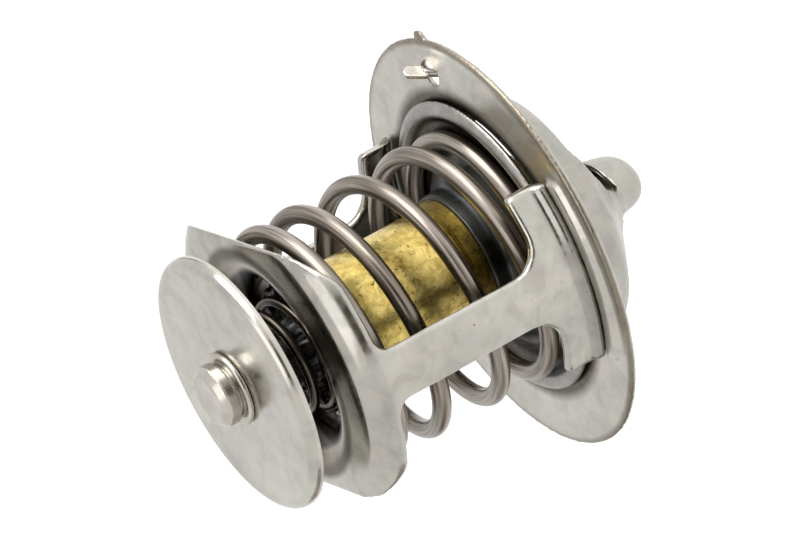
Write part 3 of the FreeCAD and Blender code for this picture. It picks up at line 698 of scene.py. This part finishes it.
@dataclass(frozen=True)
class FlangeShape:
    """The flange as pressed and sheared: a pinched, leaning nose with a raised brim, and a rough rim."""

    nose_from_mm: float = 11.5
    nose_to_mm: float = 16.0
    nose_squeeze: float = 0.24
    nose_spread: float = 0.12
    nose_lean_mm: float = 0.9
    brim_from_mm: float = 13.5
    brim_to_mm: float = 15.8
    brim_rise_mm: float = 1.05
    brim_half_mm: float = 3.4
    brim_end_mm: float = 6.4
    tip_from_mm: float = 15.9
    tip_to_mm: float = 18.8
    rim_from_mm: float = 27.3
    rim_to_mm: float = 27.9
    rim_lumps_per_mm: float = 2.2
    rim_roughness_mm: float = 0.07

    def move(self, point: Vector) -> Vector:
        """Says where a place on the flange goes.

        Args:
            point: A place on the flange in millimetres.

        Returns:
            Where it goes, in millimetres.
        """
        share = ease(-point.z, self.nose_from_mm, self.nose_to_mm)
        moved = Vector((point.x * (1.0 - self.nose_squeeze * share), point.y * (1.0 + self.nose_spread * share),
                        point.z))
        moved.y -= self.nose_lean_mm * share
        under = ease(-point.z, self.brim_from_mm, self.brim_to_mm)
        over = 1.0 - ease(-point.z, self.tip_from_mm, self.tip_to_mm)
        middle = 1.0 - ease(abs(point.y), self.brim_half_mm, self.brim_end_mm)
        moved.z += self.brim_rise_mm * (under * over * middle)
        rim = ease(math.hypot(point.x, point.y), self.rim_from_mm, self.rim_to_mm)
        if rim > 0.0:
            moved += noise.noise_vector(point * self.rim_lumps_per_mm) * (self.rim_roughness_mm * rim)
        return moved


@dataclass(frozen=True)
class CoiledWire:
    """A round wire on a path round the axis, with its ends cut square."""

    node: str
    wire_radius_mm: float
    start_angle: float
    turns: float
    side_mm: float = 0.0
    steps_per_turn: int = 90
    sides: int = 24

    def centre(self, share: float) -> Vector:
        """The wire's centre in millimetres at a share of its angle."""
        raise NotImplementedError

    def sweep(self) -> bmesh.types.BMesh:
        """Draws a round section out along the wire's path, and notes each point's place on the wire.

        Returns:
            The wire in metres, with a closed end at either side.
        """
        count = int(self.turns * self.steps_per_turn)
        path = [self.centre(index / count) for index in range(count + 1)]
        shape = bmesh.new()
        place = shape.verts.layers.float_vector.new(WIRE_PLACE)
        section = bmesh.ops.create_circle(shape, cap_ends=True, segments=self.sides,
                                          radius=self.wire_radius_mm * MM)["verts"]
        for vertex in section:
            vertex[place] = vertex.co
        edges = list(shape.edges)
        travelled = 0.0
        for index, middle in enumerate(path):
            if index:
                travelled += (middle - path[index - 1]).length
                grown = bmesh.ops.extrude_edge_only(shape, edges=edges)["geom"]
                edges = [item for item in grown if isinstance(item, bmesh.types.BMEdge) and item.is_boundary]
                section = [item for item in grown if isinstance(item, bmesh.types.BMVert)]
            ahead = path[min(index + 1, count)] - path[max(index - 1, 0)]
            outward = Vector((middle.x - self.side_mm, middle.y, 0.0)).normalized()
            across = ahead.cross(outward).normalized()
            outward = across.cross(ahead).normalized()
            for vertex in section:
                flat = vertex[place]
                vertex.co = middle * MM + outward * flat.x + across * flat.y
                vertex[place] = Vector((flat.x, flat.y, travelled * LINE_STRETCH * MM))
        bmesh.ops.contextual_create(shape, geom=edges)
        bmesh.ops.recalc_face_normals(shape, faces=shape.faces)
        return shape

    def build(self, shelf: FinishShelf) -> bpy.types.Object:
        """Makes the wire and puts it in its node's place.

        Args:
            shelf: Where the finish comes from.

        Returns:
            The piece that replaces the node.
        """
        piece = keep_piece(f"{self.node}_wire", self.sweep())
        for polygon in piece.data.polygons:
            polygon.use_smooth = len(polygon.vertices) == 4
        shelf.dress(piece, FINISHES[self.node])
        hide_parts(self.node)
        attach(piece, body_of(self.node))
        return piece


@dataclass(frozen=True)
class MainSpring(CoiledWire):
    """The return spring: closed at its ends and open in the middle."""

    coil_radius_mm: float = 15.65
    low_mm: float = 1.65
    high_mm: float = 30.3
    shares: tuple[float, ...] = (0.005, 0.081, 0.133, 0.133, 0.161, 0.147, 0.115, 0.101, 0.077, 0.049)

    def centre(self, share: float) -> Vector:
        """Places the wire's centre, with the half turns' rises joined smoothly.

        Args:
            share: A share of the wire's angle, from 0 to 1.

        Returns:
            The centre in millimetres.
        """
        place = share * len(self.shares)
        index = min(int(place), len(self.shares) - 1)
        inside = place - index
        before = self.shares[max(index - 1, 0)]
        here = self.shares[index]
        after = self.shares[min(index + 1, len(self.shares) - 1)]
        square = inside * inside
        cube = square * inside
        risen = ((cube - 2 * square + inside) * ((before + here) / 2) + (3 * square - 2 * cube) * here
                 + (cube - square) * ((here + after) / 2))
        height = (self.low_mm + (self.high_mm - self.low_mm) * (sum(self.shares[:index]) + risen)
                  / sum(self.shares))
        angle = math.radians(self.start_angle) + math.tau * self.turns * share
        flat = self.coil_radius_mm * Vector((math.cos(angle), math.sin(angle)))
        return Vector((self.side_mm + flat.x, flat.y, height))


@dataclass(frozen=True)
class BypassSpring(CoiledWire):
    """The small cone spring under the bypass plate."""

    wide_mm: float = 7.6
    narrow_mm: float = 5.3
    low_mm: float = 29.3
    high_mm: float = 38.0

    def centre(self, share: float) -> Vector:
        """Places the wire's centre, from the plate down to the capsule.

        Args:
            share: A share of the wire's angle, from 0 to 1.

        Returns:
            The centre in millimetres.
        """
        angle = math.radians(self.start_angle) - math.tau * self.turns * share
        radius = self.narrow_mm + (self.wide_mm - self.narrow_mm) * share
        height = self.high_mm + (self.low_mm - self.high_mm) * share
        return Vector((radius * math.cos(angle), radius * math.sin(angle), height))


@dataclass(frozen=True)
class CapsuleGrease:
    """Old grease on the capsule's end, round the stem: a low ring pushed into lumps."""

    # Radius, height above the capsule's end and rounding of each corner
    corners: tuple[tuple[float, float, float], ...] = (
        (3.7, 0.02, 0.0), (3.7, 2.2, 0.3), (5.0, 1.3, 0.8), (6.6, 0.9, 0.8), (8.0, 0.5, 0.4), (8.2, 0.02, 0.0),
        (3.7, 0.02, 0.0))
    steps: int = 160
    arc_steps: int = 8
    foot_mm: float = 0.05
    broad_lumps_per_mm: float = 0.9
    broad_height_mm: float = 0.5
    fine_lumps_per_mm: float = 2.7
    fine_height_mm: float = 0.25
    deepest_mm: float = -0.3
    sideways_share: float = 0.3

    def outline(self, top_mm: float) -> list[Vector]:
        """Rounds the corners.

        Args:
            top_mm: The height of the capsule's end.

        Returns:
            Points in millimetres, with an arc where a corner is rounded.
        """
        places = [Vector((radius, 0.0, top_mm + height)) for radius, height, _ in self.corners]
        points = []
        for index, (_, _, rounding) in enumerate(self.corners):
            if not rounding:
                points.append(places[index])
                continue
            backward = (places[index - 1] - places[index]).normalized()
            forward = (places[index + 1] - places[index]).normalized()
            half = backward.angle(forward) / 2
            centre = places[index] + (backward + forward).normalized() * (rounding / math.sin(half))
            entry = places[index] + backward * (rounding / math.tan(half)) - centre
            leave = places[index] + forward * (rounding / math.tan(half)) - centre
            for step in range(self.arc_steps + 1):
                points.append(centre + entry.slerp(leave, step / self.arc_steps))
        return points

    def spin(self, top_mm: float) -> bmesh.types.BMesh:
        """Spins the outline about the axis.

        Args:
            top_mm: The height of the capsule's end.

        Returns:
            The closed ring in millimetres.
        """
        shape = bmesh.new()
        vertices = [shape.verts.new(point) for point in self.outline(top_mm)]
        edges = [shape.edges.new(pair) for pair in zip(vertices, vertices[1:])]
        bmesh.ops.spin(shape, geom=vertices + edges, cent=(0, 0, 0), axis=(0, 0, 1), angle=math.tau,
                       steps=self.steps, use_merge=True)
        bmesh.ops.remove_doubles(shape, verts=shape.verts, dist=MERGE_MM)
        bmesh.ops.recalc_face_normals(shape, faces=shape.faces)
        return shape

    def build(self, shelf: FinishShelf) -> bpy.types.Object:
        """Makes the grease and lets it ride on the capsule.

        Args:
            shelf: Where the finish comes from.

        Returns:
            The grease.
        """
        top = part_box("capsule_cup")[1][2] / MM
        shape = self.spin(top)
        for vertex in shape.verts:
            if vertex.co.z > top + self.foot_mm:
                lump = (noise.noise(vertex.co * self.broad_lumps_per_mm) * self.broad_height_mm
                        + noise.noise(vertex.co * self.fine_lumps_per_mm) * self.fine_height_mm)
                outward = Vector((vertex.co.x, vertex.co.y, 0.0)).normalized()
                vertex.co += (Vector((0.0, 0.0, max(lump, self.deepest_mm)))
                              + outward * (lump * self.sideways_share))
            vertex.co *= MM
        piece = keep_piece("capsule_grease", shape)
        shelf.dress(piece, GREASE)
        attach(piece, body_of("capsule_cup"))
        return piece


@dataclass(frozen=True)
class HousingSide:
    """The pressings that stay with the engine, and the loose vent pin in them."""

    frame_voxel_mm: float = 0.245
    frame_passes: int = 15
    flange_voxel_mm: float = 0.275
    flange_passes: int = 7
    pin_voxel_mm: float = 0.08
    pin_passes: int = 5
    flange_shape: FlangeShape = FlangeShape()

    def build(self, shelf: FinishShelf) -> None:
        """Rounds the frame, the flange and the pin.

        Args:
            shelf: Where the finishes come from.
        """
        RoundedNode("lower_frame", self.frame_voxel_mm, self.frame_passes).build(shelf)
        RoundedNode("flange", self.flange_voxel_mm, self.flange_passes, self.flange_shape.move).build(shelf)
        RoundedNode("jiggle_pin", self.pin_voxel_mm, self.pin_passes).build(shelf)


@dataclass(frozen=True)
class ValveGroup:
    """The valve plate, the spring that closes it and the grease on the capsule."""

    valve_voxel_mm: float = 0.205
    valve_passes: int = 6
    spring: MainSpring = MainSpring("main_spring", 1.2, 270.0, 5.0, side_mm=-0.6)
    grease: CapsuleGrease = CapsuleGrease()

    def build(self, shelf: FinishShelf) -> None:
        """Makes the plate, the spring, with a mesh of its own, and the grease.

        Args:
            shelf: Where the finishes come from.
        """
        RoundedNode("main_valve", self.valve_voxel_mm, self.valve_passes).build(shelf)
        spring = self.spring.build(shelf)
        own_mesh(spring)
        self.grease.build(shelf)


@dataclass(frozen=True)
class BypassGroup:
    """The turned stem with its ring, and the small spring under the bypass plate."""

    stem_voxel_mm: float = 0.12
    stem_passes: int = 3
    ring_voxel_mm: float = 0.08
    ring_passes: int = 4
    spring: BypassSpring = BypassSpring("bypass_spring", 0.65, 0.0, 3.5)

    def build(self, shelf: FinishShelf) -> None:
        """Rounds the stem and its ring, and makes the spring, with a mesh of its own.

        Args:
            shelf: Where the finishes come from.
        """
        RoundedNode("bypass_stem", self.stem_voxel_mm, self.stem_passes).build(shelf)
        RoundedNode("stem_ring", self.ring_voxel_mm, self.ring_passes).build(shelf)
        small = self.spring.build(shelf)
        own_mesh(small)


@dataclass(frozen=True)
class ViewCamera:
    """The camera at the photograph's viewing angle."""

    aim_mm: tuple[float, float, float] = (1.37, 5.33, 11.02)
    azimuth_deg: float = 21.18
    elevation_deg: float = 21.666
    roll_deg: float = -118.507
    distance_mm: float = 867.4
    lens_mm: float = 315.0
    sensor_mm: float = 36.0
    near_m: float = 0.01
    far_m: float = 10.0

    def back(self) -> Vector:
        """Finds the direction from the object towards the camera.

        Returns:
            A unit vector.
        """
        azimuth = math.radians(self.azimuth_deg)
        elevation = math.radians(self.elevation_deg)
        flat = math.cos(elevation)
        return Vector((math.sin(azimuth) * flat, -math.cos(azimuth) * flat, math.sin(elevation)))

    def turn(self) -> Matrix:
        """The camera's turn, as a matrix whose columns are right, up and back."""
        level = (-self.back()).to_track_quat("-Z", "Y").to_matrix()
        return level @ Matrix.Rotation(math.radians(self.roll_deg), 3, "Z")

    def towards(self, way: tuple[float, float, float]) -> Vector:
        """Turns a way given as right, up and back, seen from the camera, into a direction in the scene."""
        return (self.turn() @ Vector(way)).normalized()

    def place(self) -> bpy.types.Object:
        """Makes the camera.

        Returns:
            The camera, which is the scene's.
        """
        data = bpy.data.cameras.new("camera")
        data.lens = self.lens_mm
        data.sensor_width = self.sensor_mm
        data.clip_start = self.near_m
        data.clip_end = self.far_m
        camera = bpy.data.objects.new("camera", data)
        bpy.context.scene.collection.objects.link(camera)
        camera.matrix_world = Matrix.Translation(
            Vector(self.aim_mm) * MM + self.back() * self.distance_mm * MM) @ self.turn().to_4x4()
        bpy.context.scene.camera = camera
        return camera


@dataclass(frozen=True)
class Softbox:
    """A square area light that stands in a direction given as right, up and back, seen from the camera."""

    name: str
    way: tuple[float, float, float]
    distance_mm: float
    size_mm: float
    watts: float

    def place(self, view: ViewCamera) -> None:
        """Adds the light.

        Args:
            view: The camera that the direction is seen from.
        """
        direction = view.towards(self.way)
        data = bpy.data.lights.new(self.name, "AREA")
        data.shape = "SQUARE"
        data.size = self.size_mm * MM
        data.energy = self.watts
        light = bpy.data.objects.new(self.name, data)
        bpy.context.scene.collection.objects.link(light)
        light.location = Vector(view.aim_mm) * MM + direction * self.distance_mm * MM
        light.rotation_euler = direction.to_track_quat("Z", "Y").to_euler()


@dataclass(frozen=True)
class FeltCard:
    """A card out of view, which draws a darker band in the metal. Its direction is given as a softbox's is."""

    name: str
    way: tuple[float, float, float]
    distance_mm: float
    width_mm: float
    height_mm: float
    colour: str = "#5f564c"

    def place(self, view: ViewCamera) -> None:
        """Stands the card in its place.

        Args:
            view: The camera that the direction is seen from.
        """
        direction = view.towards(self.way)
        shift = Matrix.Translation(Vector(view.aim_mm) * MM + direction * self.distance_mm * MM)
        turn = direction.to_track_quat("Z", "Y").to_matrix().to_4x4()
        shape = bmesh.new()
        bmesh.ops.create_grid(shape, x_segments=1, y_segments=1, size=0.5 * MM)
        bmesh.ops.scale(shape, vec=(self.width_mm, self.height_mm, 1.0), verts=shape.verts)
        bmesh.ops.transform(shape, matrix=shift @ turn, verts=shape.verts)
        card = keep_piece(self.name, shape)
        card.visible_camera = False
        material = bpy.data.materials.new(f"{self.name}_felt")
        material.use_nodes = True
        tree = material.node_tree
        tree.nodes.clear()
        matt = add_node(tree, "ShaderNodeBsdfDiffuse", {"Color": linear(self.colour)})
        add_node(tree, "ShaderNodeOutputMaterial", links={"Surface": matt.outputs[0]})
        card.data.materials.append(material)


@dataclass(frozen=True)
class Studio:
    """White surroundings, soft lights, felt cards and a pale floor."""

    view: ViewCamera
    lights: tuple[Softbox, ...] = (
        Softbox("key", (-0.6, 0.9, 0.5), 700.0, 600.0, 5.0),
        Softbox("fill", (0.9, 0.2, 0.5), 800.0, 500.0, 3.0),
        Softbox("front", (-0.7, -0.2, 0.9), 800.0, 600.0, 1.2),
    )
    cards: tuple[FeltCard, ...] = (
        FeltCard("flag_front", (0.05, 0.0, 1.0), 420.0, 280.0, 220.0),
        FeltCard("flag_right", (0.95, 0.25, -0.3), 260.0, 220.0, 260.0),
        FeltCard("flag_under", (0.35, -0.8, -0.55), 300.0, 260.0, 200.0, "#9a928a"),
        FeltCard("flag_over", (-0.2, 0.65, -0.75), 350.0, 260.0, 220.0, "#a09a92"),
        FeltCard("flag_behind", (0.5, 0.2, -0.85), 400.0, 360.0, 330.0, "#989a9b"),
    )
    # How light the surroundings are, from below to above
    levels: tuple[tuple[float, float], ...] = ((0.0, 0.55), (0.4, 0.75), (0.65, 0.95), (1.0, 1.0))
    floor_height_mm: float = -60.0
    floor_size_mm: float = 3000.0
    floor_colour: str = "#f2f2f2"
    floor_glow: float = 0.35

    def seen_share(self, tree: Tree) -> Socket:
        """Tells what is seen from the light that falls on the object.

        Args:
            tree: The floor's or the world's nodes.

        Returns:
            1 for what the camera sees, straight or through a reflection or glass, and 0 for other light.
        """
        path = add_node(tree, "ShaderNodeLightPath")
        mirrored = add_node(tree, "ShaderNodeMath", links={
            0: path.outputs["Is Camera Ray"], 1: path.outputs["Is Glossy Ray"]}, operation="MAXIMUM")
        any_way = add_node(tree, "ShaderNodeMath", links={
            0: mirrored.outputs[0], 1: path.outputs["Is Transmission Ray"]}, operation="MAXIMUM")
        return any_way.outputs[0]

    def surround(self) -> None:
        """Makes the world: white where seen, and otherwise lighter above than below."""
        world = bpy.data.worlds.new("surroundings")
        bpy.context.scene.world = world
        world.use_nodes = True
        tree = world.node_tree
        tree.nodes.clear()
        way = add_node(tree, "ShaderNodeTexCoord").outputs["Generated"]
        up = self.view.turn() @ Vector((0, 1, 0))
        height = add_node(tree, "ShaderNodeVectorMath", {1: up}, {0: way}, operation="DOT_PRODUCT")
        share = add_node(tree, "ShaderNodeMapRange", {"From Min": -1.0, "From Max": 1.0},
                         {"Value": height.outputs["Value"]})
        around = add_node(tree, "ShaderNodeValToRGB", links={"Fac": share.outputs["Result"]},
                          stops=[(at, grey(level)) for at, level in self.levels])
        lit = add_node(tree, "ShaderNodeBackground", {"Strength": 1.0}, {"Color": around.outputs["Color"]})
        seen = add_node(tree, "ShaderNodeBackground", {"Color": grey(1.0), "Strength": 1.0})
        mix = add_node(tree, "ShaderNodeMixShader",
                       links={0: self.seen_share(tree), 1: lit.outputs[0], 2: seen.outputs[0]})
        add_node(tree, "ShaderNodeOutputWorld", links={"Surface": mix.outputs[0]})

    def lay_floor(self) -> None:
        """Makes the pale floor, well below the nose: it looks white and keeps the object's shadow."""
        shape = bmesh.new()
        bmesh.ops.create_grid(shape, x_segments=1, y_segments=1, size=self.floor_size_mm * MM / 2)
        bmesh.ops.translate(shape, verts=shape.verts, vec=(0, 0, self.floor_height_mm * MM))
        floor = keep_piece("floor", shape)
        material = bpy.data.materials.new("matt_white_floor")
        material.use_nodes = True
        tree = material.node_tree
        tree.nodes.clear()
        matt = add_node(tree, "ShaderNodeBsdfDiffuse", {"Color": linear(self.floor_colour)})
        glow = add_node(tree, "ShaderNodeEmission", {"Color": grey(1.0), "Strength": self.floor_glow})
        both = add_node(tree, "ShaderNodeAddShader", links={0: matt.outputs[0], 1: glow.outputs[0]})
        mix = add_node(tree, "ShaderNodeMixShader",
                       links={0: self.seen_share(tree), 1: matt.outputs[0], 2: both.outputs[0]})
        add_node(tree, "ShaderNodeOutputMaterial", links={"Surface": mix.outputs[0]})
        floor.data.materials.append(material)

    def light(self) -> None:
        """Places the lights and the cards, and makes the surroundings and the floor."""
        for item in (*self.lights, *self.cards):
            item.place(self.view)
        self.surround()
        self.lay_floor()


def main() -> None:
    """Builds the scene in order. Each piece is reported as it gets its finish."""
    logging.basicConfig(level=logging.INFO, format="%(message)s")
    noise.seed_set(NOISE_SEED)
    bpy.context.scene.view_settings.view_transform = "Standard"
    view = ViewCamera()
    view.place()
    shelf = FinishShelf()
    shelf.dress_nodes()
    for group in (HousingSide(), ValveGroup(), BypassGroup()):
        group.build(shelf)
    Studio(view).light()


if __name__ == "__main__":
    main()
